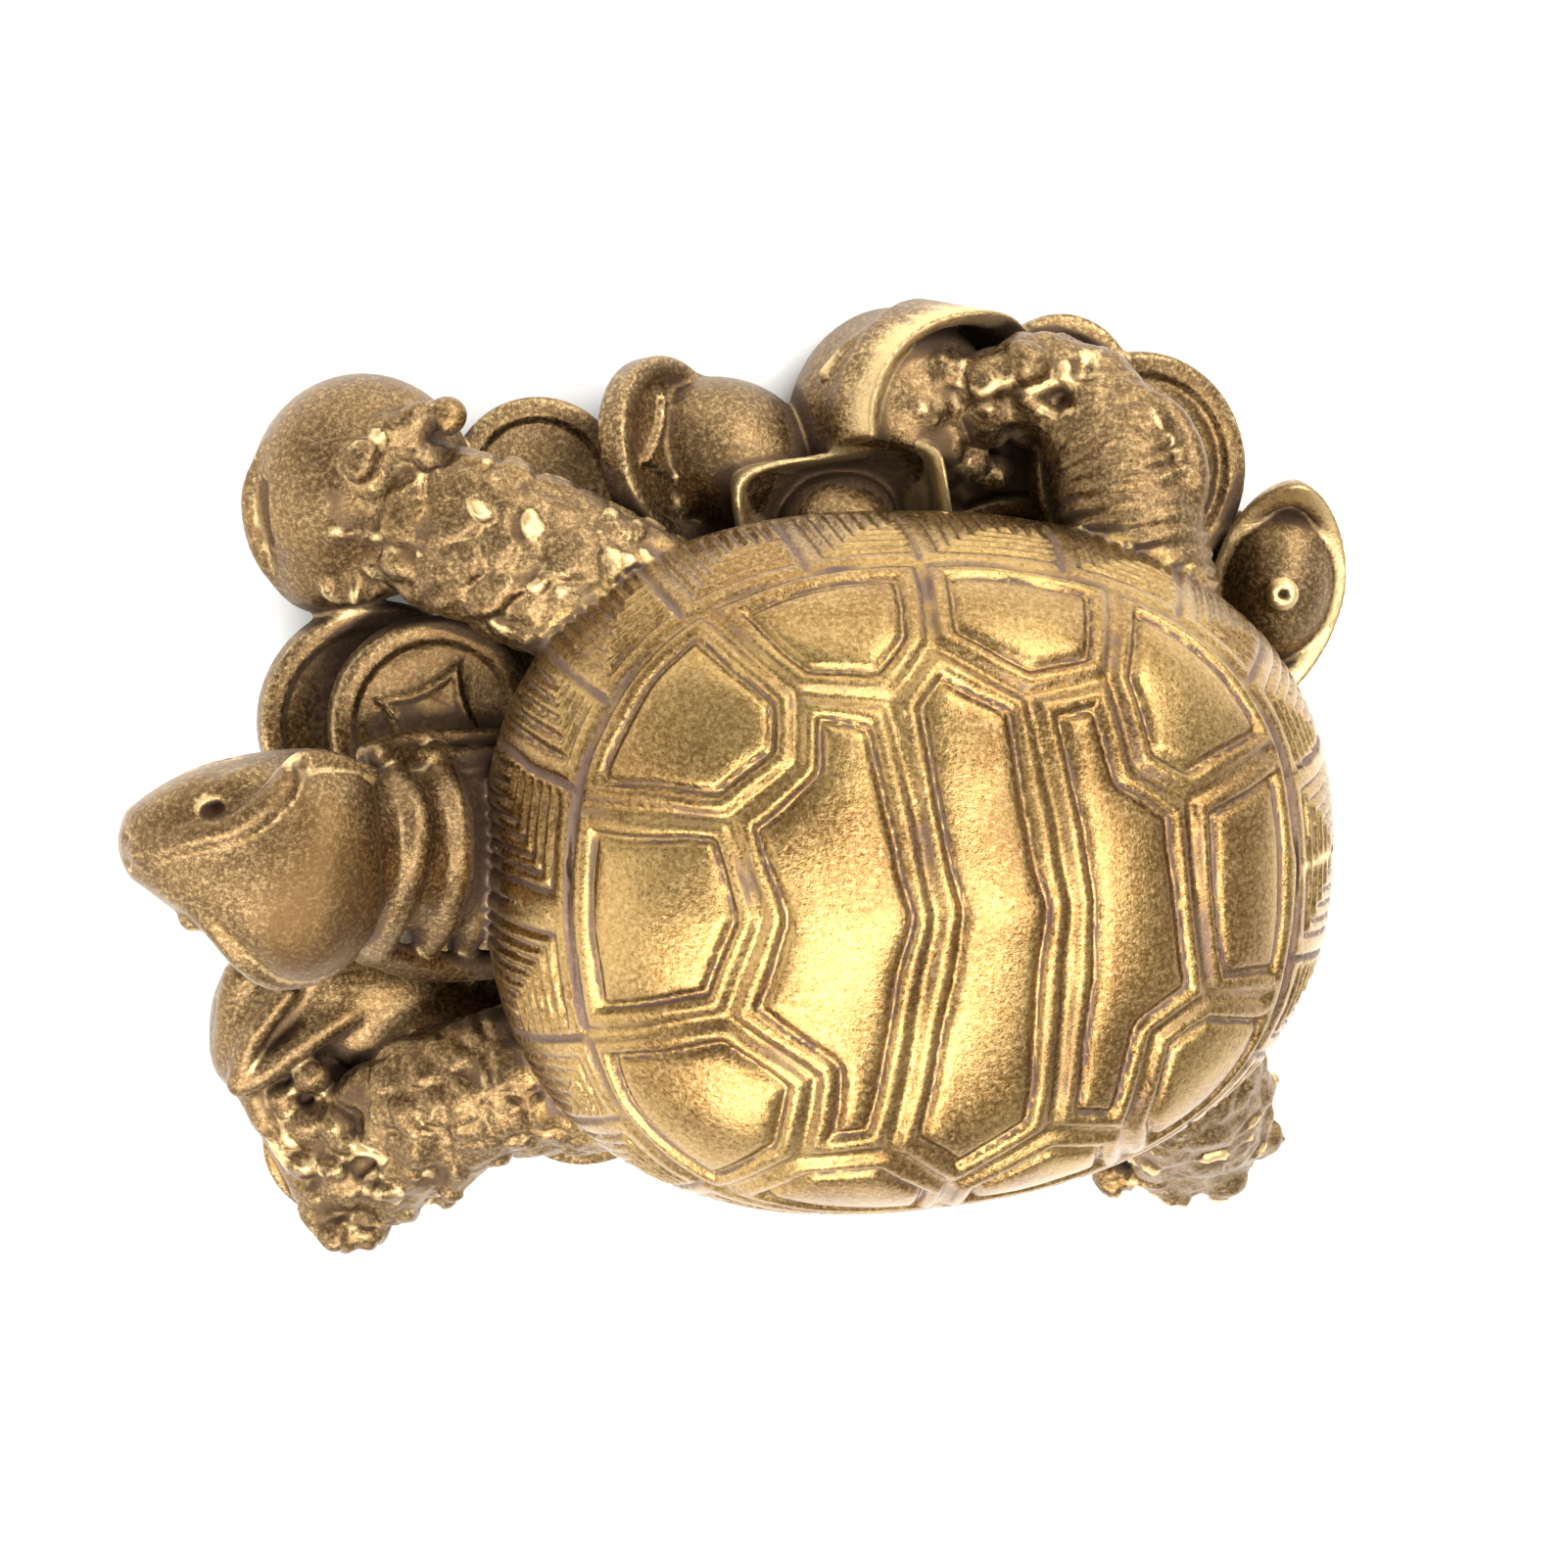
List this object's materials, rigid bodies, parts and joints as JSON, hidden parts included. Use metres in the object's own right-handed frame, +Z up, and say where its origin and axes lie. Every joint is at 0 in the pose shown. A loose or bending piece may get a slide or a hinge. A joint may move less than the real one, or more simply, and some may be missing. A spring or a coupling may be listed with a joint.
{
  "type": "brass turtle ornament on coins and ingots",
  "caption": "Small solid cast brass tortoise with a plated shell, standing on a heap of old round coins and boat-shaped ingots; a paperweight or shelf ornament.",
  "frame": {"origin": "middle of the footprint's box, on the surface that the ornament stands on", "axes": "+X towards the tail, the head looks along -X; +Y the turtle's right side; +Z up"},
  "size_m": [0.0628, 0.0474, 0.0272],
  "materials": {
    "brass": "antique brass casting, dark brown patina in the hollows, rubbed bright on raised places"
  },
  "bodies": {
    "root": {"brass_turtle": "brass"}
  },
  "joints": []
}
